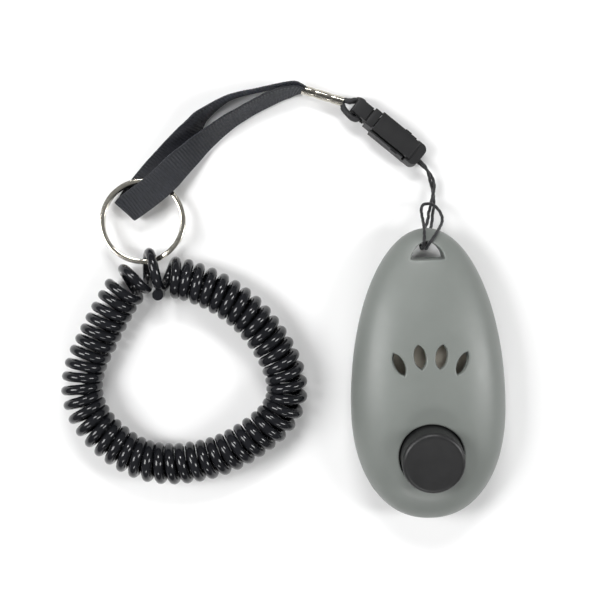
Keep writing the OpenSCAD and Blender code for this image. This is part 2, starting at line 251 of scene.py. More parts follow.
def plastic(name, dark, light, rough, grain, depth, **sockets):
    m = Shader(name, Coat_Roughness=0.22, **sockets)
    m.to("Base Color", m.ramp(m.noise(90, 4), dark, light, 0.32, 0.68))
    m.to("Roughness", m.span(m.noise(420, 3), rough - 0.035, rough + 0.035))
    m.bump((m.noise(grain, 2, 0.5), 0.35, depth))
    return m


def glossy_band():
    m = Shader("black_band", Coat_Weight=0.35, Coat_Roughness=0.05, IOR=1.4,
               Specular_IOR_Level=0.35)
    m.to("Base Color", m.ramp(m.noise(140, 3), (0.0065, 0.007, 0.0085), (0.011, 0.0115, 0.014)))
    m.to("Roughness", m.span(m.noise(500, 4), 0.1, 0.2))
    m.bump((m.noise(260, 3), 0.25, 0.00003), (m.noise(2600, 2), 0.1, 0.00001))
    return m


def woven_ribbon():
    m = Shader("black_ribbon", Sheen_Weight=0.22, Sheen_Roughness=0.3,
               Sheen_Tint=(0.45, 0.55, 0.8, 1))
    m.to("Base Color", m.ramp(m.noise(900, 4, 0.7), (0.006, 0.0066, 0.0095),
                              (0.0115, 0.013, 0.019)))
    m.to("Roughness", m.span(m.noise(1500, 2), 0.5, 0.68))
    m.bump((m.noise(6500, 3, 0.7), 0.5, 0.00004))
    return m


def braided_cord():
    m = Shader("black_cord", Sheen_Weight=0.25, Sheen_Roughness=0.4)
    m.to("Base Color", m.ramp(m.noise(1200, 4, 0.7), (0.006, 0.006, 0.007),
                              (0.013, 0.013, 0.015)))
    m.to("Roughness", m.span(m.noise(2500, 2), 0.42, 0.62))
    m.bump((m.noise(8000, 3, 0.7), 0.5, 0.00004))
    return m


def nickel_plate():
    """Bright plating, a little streaky."""
    m = Shader("nickel_plate", Metallic=1.0)
    m.to("Base Color", m.ramp(m.noise(220, 3), (0.56, 0.53, 0.46), (0.68, 0.65, 0.58)))
    m.to("Roughness", m.span(m.noise(900, 4, 0.7, (1, 1, 6)), 0.14, 0.27))
    m.bump((m.noise(700, 3), 0.2, 0.00002), (m.noise(5000, 2, 0.6, (1, 1, 8)), 0.15, 0.00001))
    return m


def spring_steel():
    # The base colour is lifted far above the steel's own tone. This is painted light for the
    # blade, which lies in shade behind the vents.
    m = Shader("spring_steel", Metallic=0.15)
    m.to("Base Color", m.ramp(m.noise(130, 3), (0.72, 0.66, 0.55), (0.9, 0.84, 0.72)))
    m.to("Roughness", m.span(m.noise(600, 4, 0.7, (8, 1, 1)), 0.28, 0.42))
    m.bump((m.noise(1500, 3, 0.6, (10, 1, 1)), 0.3, 0.00002))
    return m


def zinc_plate():
    m = Shader("zinc_screw", Metallic=1.0)
    m.to("Base Color", m.ramp(m.noise(400, 3), (0.48, 0.48, 0.47), (0.62, 0.61, 0.58)))
    m.to("Roughness", m.span(m.noise(1500, 3), 0.26, 0.42))
    m.bump((m.noise(3000, 2), 0.3, 0.00002))
    return m


def make_materials():
    shaders = {
        "shell": plastic("grey_shell", (0.172, 0.186, 0.174), (0.188, 0.203, 0.19), 0.43, 5200,
                         0.00002, Coat_Weight=0.05),
        "button": plastic("black_button", (0.0085, 0.0085, 0.009), (0.012, 0.012, 0.0125), 0.42,
                          4200, 0.00003),
        "buckle": plastic("black_buckle", (0.008, 0.008, 0.0088), (0.012, 0.012, 0.0128), 0.42,
                          3000, 0.00002, Specular_IOR_Level=0.38),
        "band": glossy_band(),
        "ribbon": woven_ribbon(),
        "cord": braided_cord(),
        "nickel": nickel_plate(),
        "steel": spring_steel(),
        "zinc": zinc_plate(),
    }
    return {name: shader.mat for name, shader in shaders.items()}


# ---- camera --------------------------------------------------------------------------------
CAMERA_AIM = (-29.35, 17.96, 7)
CAMERA_UP = (0.0227, 0.9997, 0)  # a turn of 1.3 degrees, which sets the object as in the photo
CAMERA_LEAN = math.radians(5)  # back from straight down
CAMERA_DISTANCE = 300
CAMERA_LENS = 77.6
CAMERA_SENSOR = 36


def make_camera():
    up = Vector(CAMERA_UP).normalized()
    back = (up * math.sin(CAMERA_LEAN) + Vector((0, 0, math.cos(CAMERA_LEAN)))).normalized()
    y = (up - back * up.dot(back)).normalized()
    x = y.cross(back)
    data = bpy.data.cameras.new("camera")
    data.sensor_width = CAMERA_SENSOR
    data.lens = CAMERA_LENS
    place = Matrix((x, y, back)).transposed().to_4x4()
    place.translation = Vector(CAMERA_AIM) * MM + back * (CAMERA_DISTANCE * MM)
    ob = add_object("camera", data)
    ob.matrix_world = place
    scene.camera = ob


# ---- cords ---------------------------------------------------------------------------------
BUCKLE_AT = (-16.1, 62.35, 0.8)
BUCKLE_TURN = math.radians(-40.1)
BUCKLE_ROLL = math.radians(-15)
FERRULE_AT = np.array([-18.3, 63.55, 2.7])  # its mouth, by the buckle
FERRULE_ALONG = np.array([-0.951, 0.309, 0.0])
FERRULE_ACROSS = np.array([0.309, 0.951, 0.0])
FERRULE_LENGTH = 9.9
LEAD_TWIST = math.radians(330)
PLY_LENGTH = 1.5
BRAID_LENGTH = 2.2
RIB_STEP = 0.75
TURN_STEPS = 30  # points on each turn of the wrist band
FAR_TURNS = 46
JOIN_TURNS = 2.5  # where the strand's ends meet, in turns from the first near one
COIL_RADIUS = 3.75
COIL_HEIGHT = 4.9
STRAND_RADIUS = 1.15

# Routes are rows of X, Y and Z. The thin cord's hitch, from one end of its twisted pair to the
# other:
HITCH = [[1.15, 36.6, 2.6], [0.7, 34.9, 2.9], [-0.1, 33.2, 3.3], [-0.7, 31.8, 3.1],
    [-0.95, 30.5, 3.4], [-0.95, 29.4, 5.4], [-0.9, 29.3, 8], [-0.85, 30.1, 10],
    [-0.75, 31.1, 11.15], [-0.65, 32.2, 10.6], [-0.55, 33.5, 9.5], [-0.5, 34.7, 8],
    [-0.55, 35.9, 6.4], [-0.7, 37.4, 5.1], [-0.6, 38.8, 4.5], [0.3, 39.5, 4.4],
    [1.9, 39.3, 4.4], [3.2, 38.2, 4.5], [4, 36.6, 5], [3.9, 35.2, 6.2],
    [3.2, 34.1, 7.8], [2.4, 33.1, 9.4], [1.6, 32.1, 10.5], [0.8, 31.1, 11.15],
    [0.2, 30.1, 10], [0, 29.3, 8], [0.1, 29.4, 5.4], [0.5, 30.5, 3.4],
    [0.95, 31.8, 3.1], [1.4, 33.2, 3.3], [1.85, 34.9, 2.9], [2.1, 36.6, 2.6]]
# The middle of the twisted pair, from the hitch to the buckle:
LEAD = [[1.6, 37.1, 2.5], [2, 38.4, 2.2], [2.2, 39.7, 1.95], [2.4, 41.6, 1.75],
    [2.35, 43.7, 1.8], [1.65, 46, 2.3], [0.6, 47.8, 2.7], [-0.75, 49.15, 2.9],
    [-1.8, 49.98, 2.92]]
# The loop, in the buckle's own frame:
LOOP = [[-0.4, 1.05, 2], [0.6, 1.9, 2], [1.8, 1.7, 2], [2.6, 0.5, 2],
    [2.75, -1, 2], [2.5, -2.3, 2], [1.4, -2.75, 2], [0, -2.6, 2], [-1.4, -2.3, 2],
    [-2.3, -1.9, 2], [-2.2, -0.9, 2], [-1.4, 0, 2]]
# The ribbon's middle line, with its width's turn about Z, its lean and its width:
RIBBON = [[-27, 66.2, 2.4, -72, -75, 2], [-28.6, 66.3, 2.8, -74, -73, 4.4],
    [-30.2, 66.1, 3.3, -76, -71, 6.2], [-32.3, 65.7, 3.5, -75, -69, 6.7],
    [-34.8, 64.8, 3.6, -72, -66, 6.7], [-37.4, 63.6, 3.6, -68, -66, 6.7],
    [-40, 62.3, 3.6, -63, -66, 6.7], [-42.3, 61, 3.6, -58, -65, 6.7],
    [-44.6, 59.7, 3.6, -55, -62, 6.7], [-46.9, 58.1, 3.6, -52, -59, 6.7],
    [-49.3, 56.3, 3.7, -49, -54, 6.7], [-51.7, 54.4, 3.9, -47, -47, 6.7],
    [-54, 52.3, 4.2, -45, -38, 6.7], [-55.9, 50.6, 4.5, -45, -30, 6.7],
    [-57.7, 48.9, 4.8, -45, -20, 6.7], [-59.4, 47.2, 5.1, -45, -10, 6.7],
    [-61, 45.7, 5.2, -43, -6, 6.7], [-62.9, 44.2, 5.1, -42, -5, 6.7],
    [-65.1, 42.6, 4.9, -42, -5, 6.7], [-67.2, 41.2, 4.5, -43, -4, 6.7],
    [-68.7, 40.2, 4, -43, -2, 6.6], [-69.8, 39.4, 2.5, -43, 0, 6.3],
    [-69, 40.1, 1, -42, 0, 6.5], [-67.8, 42.1, 0.45, -41, 0, 6.7],
    [-66, 44.3, 0.4, -43, 0, 6.7], [-64.2, 46.4, 0.5, -44, -2, 6.7],
    [-62.1, 48.7, 0.8, -44, -6, 6.7], [-59.9, 50.9, 1.3, -44, -12, 6.7],
    [-57.9, 53, 1.8, -44, -20, 6.7], [-56.4, 54.6, 2.3, -45, -29, 6.7],
    [-54.1, 57.3, 3, -44, -43, 6.7], [-52.9, 59, 3.3, -45, -57, 6.7],
    [-51.6, 60.6, 3.5, -47, -66, 6.7], [-49.4, 62.3, 3.6, -50, -75, 6.7],
    [-47.1, 63.8, 3.6, -56, -81, 6.7], [-44.8, 65, 3.6, -62, -85, 6.7],
    [-42, 65.8, 3.6, -68, -87, 6.7], [-39.1, 66.35, 3.6, -72, -88, 6.7],
    [-35.8, 67, 3.6, -74, -88, 6.7], [-32.5, 67.6, 3.6, -76, -87, 6.6],
    [-29.9, 67.9, 3.3, -76, -84, 5.4], [-28.4, 67.5, 2.8, -74, -80, 4],
    [-27, 66.9, 2.4, -72, -75, 2]]
# One point for each near turn's middle, and which way is outwards there:
TURNS = [[-70.9, 20.2], [-68.2, 23], [-64, 25.9], [-58.8, 23.8], [-56.4, 23.3]]
OUTWARD = [[-0.75, 0.66], [-0.6, 0.8], [-0.05, 1], [0.2, 0.98], [0.35, 0.94]]
# The middle line of the band's far turns, from the ring's left round to its right:
WRIST = [[-70.9, 20.2], [-74.3, 14.6], [-77.2, 9.2], [-79.8, 4], [-81, -1.4],
         [-80.3, -6.4], [-78, -10.8], [-74.6, -14.5], [-70.8, -17.4], [-66.6, -19.4],
         [-61.6, -20.3], [-56.2, -20.1], [-50.4, -19], [-45.2, -16.9], [-40.4, -14],
         [-36.2, -10.6], [-33.4, -6.2], [-33, -1.2], [-34.6, 4.2], [-37.6, 9.6], [-41.6, 14.6],
         [-46.2, 18.4], [-51, 21.2], [-56.4, 23.3]]


def at_buckle():
    return (Matrix.Translation(Vector(BUCKLE_AT)) @ Matrix.Rotation(BUCKLE_TURN, 4, "Z")
            @ Matrix.Rotation(BUCKLE_ROLL, 4, "X"))


def three_ply(s, a):
    """The radius of a thin cord laid from three plies, with fine yarns on them."""
    plies = 0.09 * np.cos(3 * a - s * 2 * math.pi / PLY_LENGTH)
    yarns = 0.015 * np.cos(24 * a - s * 40)
    return 0.38 * (0.93 + plies + yarns)


def make_hitch(mat):
    """One thin cord: out of the buckle, twisted with itself, hitched round the bar, and back."""
    mid = evenly(spline(LEAD, 12), 0.2)
    u, v = sides_of(mid, (1, 0, 0))
    s = lengths(mid)
    turn = LEAD_TWIST * smooth(0, s[-1], s)
    gap = 0.475 - 0.1 * smooth(0, 3, s)
    side = np.cos(turn)[:, None] * u + np.sin(turn)[:, None] * v
    one, two = mid - gap[:, None] * side, mid + gap[:, None] * side
    hitch = spline(HITCH, 8)[1:-1]
    path = evenly(spline(evenly(np.concatenate([one[::-1], hitch, two]), 0.5), 6), 0.11)
    ob = tube("hitch_cord_braided", path, three_ply, 18, mat)
    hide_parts("hitch_cord", "lead_cord")
    return ob, path


def make_loop(mat):
    """The short cord loop through the buckle's head, both ends crimped in the ferrule."""
    # The CAD closes its loop. This one opens towards the ferrule, where two legs carry it on.
    shown = moved(LOOP[-1:] + LOOP[:-3] + [[-1.3, -2.3, 2]], at_buckle())
    there, back = [[FERRULE_AT + FERRULE_ALONG * d + FERRULE_ACROSS * w for d in (8, 6, 4, 2, 0.3)]
                   for w in (0.42, -0.42)]
    path = evenly(spline(np.array(there + list(shown) + back[::-1]), 10), 0.12)
    length = lengths(path)[-1]

    def braid(s, a):
        """Two sets of yarns that cross, on a cord squeezed thin where it is in the ferrule."""
        free = smooth(6.6, 9.4, s) * smooth(6.6, 9.4, length - s)
        k = 2 * math.pi / BRAID_LENGTH
        lift = np.abs(np.sin(2 * a + k * s)) + np.abs(np.sin(2 * a - k * s))
        return (0.44 + 0.26 * free) * (0.9 + 0.075 * lift + 0.01 * np.cos(30 * a + 9 * s))

    ob = tube("link_loop_braided", path, braid, 24, mat)
    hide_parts("link_loop")
    return ob, path


def make_ribbon(mat):
    """The ribbed ribbon, both ends in the ferrule and its fold inside the ring."""
    rows = evenly(spline(RIBBON, 24), 0.115)
    at = rows[:, :3]
    along = unit(np.gradient(at, axis=0))
    turn, lean = np.radians(rows[:, 3]), np.radians(rows[:, 4])
    w = np.stack([np.cos(lean) * np.cos(turn), np.cos(lean) * np.sin(turn), np.sin(lean)], 1)
    w = unit(w - along * np.sum(w * along, 1)[:, None])
    h = np.cross(along, w)
    s = lengths(rows)
    half = rows[:, 5] / 2
    rib = (0.5 + 0.5 * np.cos(2 * math.pi * s / RIB_STEP)) ** 1.4
    # Across the ribbon, from edge to edge: where each point is, and half the thickness there.
    across = np.array([-1, -0.985, -0.94, -0.9, -0.86, -0.6, -0.3, 0, 0.3, 0.6, 0.86, 0.9, 0.94,
                       0.985, 1])
    edge = np.array([0.1, 0.2, 0.24, 0.22, 0.17, 0.16, 0.16, 0.16, 0.16, 0.16, 0.17, 0.22, 0.24,
                     0.2, 0.1])
    rib_height = np.where(np.abs(across) < 0.88, 0.15, 0.02)
    curl = 0.1 * np.sin(s * 0.21 + 1) * smooth(2, 10, s) * smooth(2, 10, s[-1] - s)
    up = edge[None, :] + rib_height[None, :] * rib[:, None]
    bow = curl[:, None] * (1 - across[None, :] ** 2)
    base = at[:, None] + half[:, None, None] * across[None, :, None] * w[:, None]
    top = base + (up + bow)[..., None] * h[:, None]
    low = base + (bow - up)[..., None] * h[:, None]
    pts = np.concatenate([top, low[:, ::-1]], axis=1)
    faces = [f[::-1] for f in swept_faces(*pts.shape[:2])]
    ob = new_mesh("ribbon_strap_ribbed", pts.reshape(-1, 3), faces, mat)
    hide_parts("ribbon_strap")
    return ob, at


def band_rows():
    """The wrist band's middle line, one row for each point of the strand, as X, Y and outwards.
    It starts and ends among the near turns, where the strand's ends are joined."""
    near = np.column_stack([spline(TURNS, TURN_STEPS), spline(OUTWARD, TURN_STEPS)])
    far = evenly(spline(WRIST[::-1], 30), 0.05)
    tangent = unit(np.gradient(far, axis=0))
    far = np.column_stack([far, -tangent[:, 1], tangent[:, 0]])
    s = lengths(far[:, :2])
    at = np.linspace(0, s[-1], FAR_TURNS * TURN_STEPS + 1)
    far = np.stack([np.interp(at, s, far[:, k]) for k in range(4)], 1)
    # Over its first and last two turns, outwards is eased into that of the near turns.
    row = np.arange(len(far))[:, None]
    blend = smooth(0, 2 * TURN_STEPS, row) * smooth(0, 2 * TURN_STEPS, len(far) - 1 - row)
    ends = np.where(row < len(far) / 2, near[-1, 2:], near[0, 2:])
    far[:, 2:] = unit(far[:, 2:] * blend + ends * (1 - blend))
    join = int(JOIN_TURNS * TURN_STEPS)
    return np.concatenate([near[join:-1], far[:-1], near[:join + 1]])


def make_band(mat):
    """The wrist band: one glossy strand wound in 50 turns, four of them near the ring."""
    rows = band_rows()
    a = 2 * math.pi * (JOIN_TURNS + np.arange(len(rows)) / TURN_STEPS)
    outwards = unit(rows[:, 2:])
    path = np.column_stack([rows[:, :2] + COIL_RADIUS * np.cos(a)[:, None] * outwards,
                            COIL_HEIGHT + COIL_RADIUS * np.sin(a)])
    data = bpy.data.curves.new("wrist_coil_strand", "CURVE")
    data.dimensions = "3D"
    data.bevel_depth = STRAND_RADIUS * MM
    data.bevel_resolution = 6
    data.use_fill_caps = True
    strand = data.splines.new("POLY")
    strand.points.add(len(path) - 1)
    strand.points.foreach_set("co", np.column_stack([path * MM, np.ones(len(path))]).ravel())
    strand.use_smooth = True
    data.materials.append(mat)
    ob = add_object("wrist_coil_strand", data)
    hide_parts("wrist_coil", "coil_link_turn")
    return ob, path


# ---- the clicker's shells ------------------------------------------------------------------
HALF_W = 18.0
HALF_L = 34.0
MID_Y = -7.3  # where the body is widest
PART_Z = 7.0  # the parting plane between the shells
WALL = 1.8
NOSE_Y = 24.4  # the end beyond this is solid
DOME_POWER = 1.3
BUTTON_AT = (0, -18, 14.8)
BUTTON_TILT = math.radians(8)
RINGS = 50  # rings of points from a shell's middle to its edge
RIM_STEPS = (0, 0.05, 0.15, 0.32, 0.55, 0.8, 1.1, 1.55)  # rings round a hole, in rim radii
HELD_STEPS = (0, 0.55)  # those that the mesh must have as edges
INSIDE, EDGE = -1, -2  # kinds of point. A point on a hole's outline has the hole's number.

# A hole's outline, its centre, its rim radius, how deep its wall goes (None is right through to
# the parting plane), and how far its axis leans towards +Y.
Hole = namedtuple("Hole", "outline centre rim depth lean")


def end_shape(upper):
    """The length and the roundness of the body's upper or lower end."""
    return np.where(upper, HALF_L - MID_Y, HALF_L + MID_Y), np.where(upper, 2.0, 2.2)


def reach(x, y):
    """0 at the body's middle and 1 on its outline."""
    length, n = end_shape(y >= MID_Y)
    return (np.abs(x / HALF_W) ** n + np.abs((y - MID_Y) / length) ** n) ** (1 / n)


def flat_of(xy):
    """From the plan to the flat disk that the surface is meshed in."""
    x, y = xy[:, 0], xy[:, 1]
    length, n = end_shape(y >= MID_Y)
    rho = np.maximum(reach(x, y), 1e-9)
    c, s = (signed_power(x / HALF_W / rho, n / 2),
            signed_power((y - MID_Y) / length / rho, n / 2))
    r = 1 - np.arccos(np.clip(rho, 0, 1) ** DOME_POWER) / (math.pi / 2)
    return np.column_stack([r * c, r * s])


def plan_of(uv):
    """From the flat disk back to the plan."""
    u, v = uv[:, 0], uv[:, 1]
    r = np.hypot(u, v)
    length, n = end_shape(v >= 0)
    rho = np.cos((1 - np.clip(r, 0, 1)) * math.pi / 2) ** (1 / DOME_POWER)
    r = np.maximum(r, 1e-9)
    return np.column_stack([HALF_W * rho * signed_power(u / r, 2 / n),
                            MID_Y + length * rho * signed_power(v / r, 2 / n)])


def thumb_dish(x, y):
    d = np.clip((x / 11) ** 2 + ((y + 16.5) / 12.2) ** 2, 0, 1)
    return 0.9 * (1 - d) ** 1.5 * 1.2


def rise(x, y, front):
    """Height of the outer surface from the parting plane."""
    dome = np.clip(1 - np.clip(reach(x, y), 0, 1) ** 2.6, 0, 1) ** (1 / 2.2)
    if front:
        thin = 1 - 0.15 * (np.maximum(0, y - MID_Y) / (HALF_L - MID_Y)) ** 2
        return 9 * dome * thin - thumb_dish(x, y)
    # The rear levels off between 6.6 and 7 mm, where it lies on the table.
    z = 7.8 * dome
    return np.where(z > 6.6, 6.6 + 0.4 * (1 - np.exp(-(z - 6.6) / 0.4)) / (1 - math.exp(-3)), z)


def leaf(x, y, w, turn):
    """A vent: two arcs that meet in points, a little rounded off."""
    length = 6.65
    r = ((length / 2) ** 2 + (w / 2) ** 2) / w
    tip = math.degrees(math.asin(length / 2 / r))
    sides = (arc(w / 2 - r, 0, r, -tip, tip, 20)[:-1]
             + arc(r - w / 2, 0, r, 180 - tip, 180 + tip, 20)[:-1])
    c, s = math.cos(math.radians(turn)), math.sin(math.radians(turn))
    along, across = [b for _, b in sides], [3 * a for a, _ in sides]
    round_off = 0.93 + 0.07 * np.cos(2 * np.arctan2(along, across))
    outline = np.array([(x + c * a - s * b * f, y + s * a + c * b * f)
                        for (a, b), f in zip(sides, round_off)])
    return Hole(outline, (x, y), 0.36, 2.0, 0)


def cord_slot():
    """The slot for the cord: flat towards the button, and arched towards the body's end."""
    power = 2 / 1.7
    top = [(3.85 * signed_power(math.cos(t), power), 27 + 4 * math.sin(t) ** power)
           for t in np.radians(np.linspace(4, 176, 44))]
    base = [(x, 27.0) for x in np.linspace(-3.5, 3.5, 15)]
    outline = np.array([(-3.73, 27.06)] + base + [(3.73, 27.06)] + top)
    return Hole(outline, (0, 28.6), 0.4, None, 0)


def round_hole(x, y, r, n, rim, depth, lean=0):
    return Hole(np.array(arc(x, y, r, 0, 360, n)[:-1]), (x, y), rim, depth, lean)


def away(p, outline):
    """Distance of each point outside an outline, less than 0 inside."""
    a, b = outline, np.roll(outline, -1, 0)
    ab = b - a
    ap = p[:, None] - a[None]
    t = np.clip(np.sum(ap * ab, -1) / np.sum(ab * ab, -1), 0, 1)
    d = np.linalg.norm(ap - t[..., None] * ab, axis=-1).min(1)
    crossing = (a[None, :, 1] > p[:, None, 1]) != (b[None, :, 1] > p[:, None, 1])
    with np.errstate(divide="ignore", invalid="ignore"):
        x = a[None, :, 0] + (p[:, None, 1] - a[None, :, 1]) * ab[None, :, 0] / ab[None, :, 1]
    inside = np.sum(crossing & (p[:, None, 0] < x), 1) % 2 == 1
    return np.where(inside, -d, d)


def grown(outline, centre, d):
    """The outline moved outwards by d, point by point along rays from its centre."""
    centre = np.array(centre, float)
    ray = unit(outline - centre)
    low = np.linalg.norm(outline - centre, axis=1)
    high = low + 4 * d + 0.01
    for _ in range(28):
        mid = (low + high) / 2
        out = away(centre + ray * mid[:, None], outline) > d
        low, high = np.where(out, low, mid), np.where(out, mid, high)
    return centre + ray * ((low + high) / 2)[:, None]


def open_points(holes):
    """Points over the whole disk, apart from those in a hole or close to it."""
    uv, kind = [np.zeros((1, 2))], [[INSIDE]]
    for i in range(1, RINGS + 1):
        n = max(8, int(2 * math.pi * i))
        a = (np.arange(n) + 0.5 * (i % 2)) * 2 * math.pi / n
        uv.append(np.column_stack([np.cos(a), np.sin(a)]) * i / RINGS)
        kind.append(np.full(n, INSIDE if i < RINGS else EDGE))
    uv, kind = np.concatenate(uv), np.concatenate(kind)
    xy = plan_of(uv)
    keep = np.ones(len(uv), bool)
    for hole in holes:
        keep &= (away(xy, hole.outline) > 2.1 * hole.rim) | (kind == EDGE)
    return uv[keep], xy[keep], kind[keep]


def shell_points(holes):
    """All of a shell's points, on the disk and in plan, with the rings that the mesh must keep."""
    uv, xy, kind = open_points(holes)
    held = []
    for number, hole in enumerate(holes):
        for step in RIM_STEPS:
            ring = grown(hole.outline, hole.centre, step * hole.rim) if step else hole.outline
            if step in HELD_STEPS:
                held.append((len(uv), len(ring)))
            uv = np.concatenate([uv, flat_of(ring)])
            xy = np.concatenate([xy, ring])
            kind = np.concatenate([kind, np.full(len(ring), INSIDE if step else number)])
    return uv, xy, kind, held


def shell_triangles(uv, kind, held):
    edges = [(a + i, a + (i + 1) % n) for a, n in held for i in range(n)]
    _, _, triangles, sources, _, _ = delaunay_2d_cdt([Vector(p) for p in uv], edges, [], 0, 1e-9)
    triangles = np.array([[sources[i][0] for i in f] for f in triangles])
    k = kind[triangles]
    across_hole = (k[:, 0] >= 0) & (k[:, 0] == k[:, 1]) & (k[:, 1] == k[:, 2])
    return triangles[~across_hole]


def shell_surfaces(xy, kind, front, holes):
    """The outer and inner place of each point, with the height above the parting plane as Z."""
    x, y = xy[:, 0], xy[:, 1]
    rim_edge = kind == EDGE
    z = rise(x, y, front)
    z[rim_edge] = 0
    level = np.column_stack([x, y, z * 0])

    drop = np.zeros(len(x))
    for hole in holes:
        e = np.clip(1 - np.clip(away(xy, hole.outline), 0, None) / hole.rim, 0, 1)
        drop = np.maximum(drop, hole.rim * (1 - np.sqrt(np.clip(1 - e * e, 0, 1))))

    eps = 0.02
    slope_x = (rise(x + eps, y, front) - rise(x - eps, y, front)) / (2 * eps)
    slope_y = (rise(x, y + eps, front) - rise(x, y - eps, front)) / (2 * eps)
    normal = unit(np.column_stack([-slope_x, -slope_y, np.ones(len(x))]))
    # The tiny terms keep the middle point, where x and y - MID_Y are 0, from dividing by 0.
    length, _ = end_shape(y >= MID_Y)
    outward = unit(np.column_stack([x / HALF_W ** 2 + 1e-9, (y - MID_Y) / length ** 2, x * 0]))
    near_edge = smooth(1.2, 0, z)[:, None]
    normal = unit(normal * (1 - near_edge) + outward * near_edge + 1e-12)

    outer = np.column_stack([x, y, z - drop])
    outer[rim_edge, :2] -= outward[rim_edge, :2] * 0.12
    inner = np.column_stack([x, y, z]) - normal * WALL
    nose = y > NOSE_Y
    inner[nose] = level[nose]
    inner[:, 2] = np.maximum(inner[:, 2], 0)
    inner[rim_edge] = (level - outward * 0.5)[rim_edge]
    for number, hole in enumerate(holes):
        mine = kind == number
        if hole.depth is None:
            inner[mine] = level[mine]
        else:
            shift = hole.depth * math.tan(hole.lean)
            inner[mine] = np.column_stack([x, y + shift, z - hole.depth])[mine]
    return outer, inner


def make_shell(name, front, holes, mat):
    """A closed shell half: its outer and inner surface, joined round each hole and its edge."""
    uv, xy, kind, held = shell_points(holes)
    triangles = shell_triangles(uv, kind, held)
    outer, inner = shell_surfaces(xy, kind, front, holes)
    verts = np.concatenate([outer, inner])
    verts[:, 2] = PART_Z + (verts[:, 2] if front else -verts[:, 2])
    n = len(outer)
    faces = [tuple(t) for t in triangles] + [tuple(n + t[::-1]) for t in triangles]
    for a, m in held[::len(HELD_STEPS)]:
        faces += [(a + (i + 1) % m, a + i, n + a + i, n + a + (i + 1) % m) for i in range(m)]
    rim = np.flatnonzero(kind == EDGE)
    rim = rim[np.argsort(np.arctan2(uv[rim, 1], uv[rim, 0]))]
    faces += [(rim[i], rim[i - 1], n + rim[i - 1], n + rim[i]) for i in range(len(rim))]
    ob = new_mesh(name, verts, faces, mat)
    face_outwards(ob)
    ob.data.set_sharp_from_angle(angle=math.radians(42))
    return ob


def make_clicker(m):
    front_holes = [cord_slot(), leaf(2.45, 5, 2.75, -8.5), leaf(-2.45, 5, 2.75, 8.5),
                   leaf(7.2, 3.4, 2.35, -26), leaf(-7.2, 3.4, 2.35, 26),
                   round_hole(0, -18, 7.5, 120, 0.4, 2.2, BUTTON_TILT)]
    screw_holes = [round_hole(0, 20.4, 2.2, 40, 0.25, 3.0),
                   round_hole(0, -29.2, 2.2, 40, 0.25, 1.9)]
    front = make_shell("front_shell_moulded", True, front_holes, m["shell"])
    rear = make_shell("rear_shell_moulded", False, [cord_slot()] + screw_holes, m["shell"])
    for ob, node in ((front, "front_shell"), (rear, "rear_shell")):
        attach(ob, "clicker")
        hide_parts(node)


def make_button(m):
    """The thumb button, from its plunger up past its flange to its slightly hollow top."""
    place = Matrix.Translation(Vector(BUTTON_AT)) @ Matrix.Rotation(BUTTON_TILT, 4, "X")
    plunger = [(1.9, -5.3), (2.0, -5.2), (2.0, -4.2)]
    flange = [(8.0, -4.2), (8.15, -4.1), (8.2, -3.9), (8.2, -3.2), (8.1, -3.0), (7.25, -2.95)]
    side = [(7.2, -2.85), (7.2, 0), (7.2, 2.2), (7.2, 3.6)]
    top = arc(6.25, 4.05, 0.95, 0, 90, 9) + [(5.9, 4.985), (5.2, 4.95), (4, 4.9), (2.4, 4.86),
                                             (0.8, 4.85)]
    ob = lathe("button_cap_moulded", plunger + flange + side + top, 128, m["button"], place, 40)
    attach(ob, "button")
    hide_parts("button_cap")


# ---- the buckle, the ferrule and the ring --------------------------------------------------
RING_AT = (-65.6, 36.9, 3.6)
RING_TILT = math.radians(-8.5)


def rect(x0, y0, x1, y1):
    return [(x0, y0), (x1, y0), (x1, y1), (x0, y1)]


def prism(bm, outline, low, high, axis, bevel):
    """A prism with rounded edges, its outline drawn across the axis Z or Y."""
    def put(a, b, h):
        return (a, b, h) if axis == "z" else (a, h, b)

    bottom = [bm.verts.new(put(a, b, low)) for a, b in outline]
    top = [bm.verts.new(put(a, b, high)) for a, b in outline]
    n = len(outline)
    faces = [bm.faces.new(bottom), bm.faces.new(top)]
    faces += [bm.faces.new((bottom[i], bottom[(i + 1) % n], top[(i + 1) % n], top[i]))
              for i in range(n)]
    bmesh.ops.recalc_face_normals(bm, faces=faces)
    edges = {e for f in faces for e in f.edges if e.calc_face_angle(0) > math.radians(25)}
    bmesh.ops.bevel(bm, geom=list(edges), offset=bevel, segments=3, profile=0.6,
                    affect="EDGES", clamp_overlap=True)


def moulded(name, prisms, mat, body, node, bevel):
    """A piece of the buckle, made of prisms. Each is (outline, low, high, axis)."""
    bm = bmesh.new()
    for outline, low, high, axis in prisms:
        prism(bm, outline, low, high, axis, bevel)
    bm.transform(at_buckle())
    bm.transform(Matrix.Scale(MM, 4))
    me = bpy.data.meshes.new(name)
    bm.to_mesh(me)
    bm.free()
    me.polygons.foreach_set("use_smooth", [True] * len(me.polygons))
    me.set_sharp_from_angle(angle=math.radians(35))
    me.materials.append(mat)
    ob = add_object(name, me)
    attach(ob, body)
    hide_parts(node)


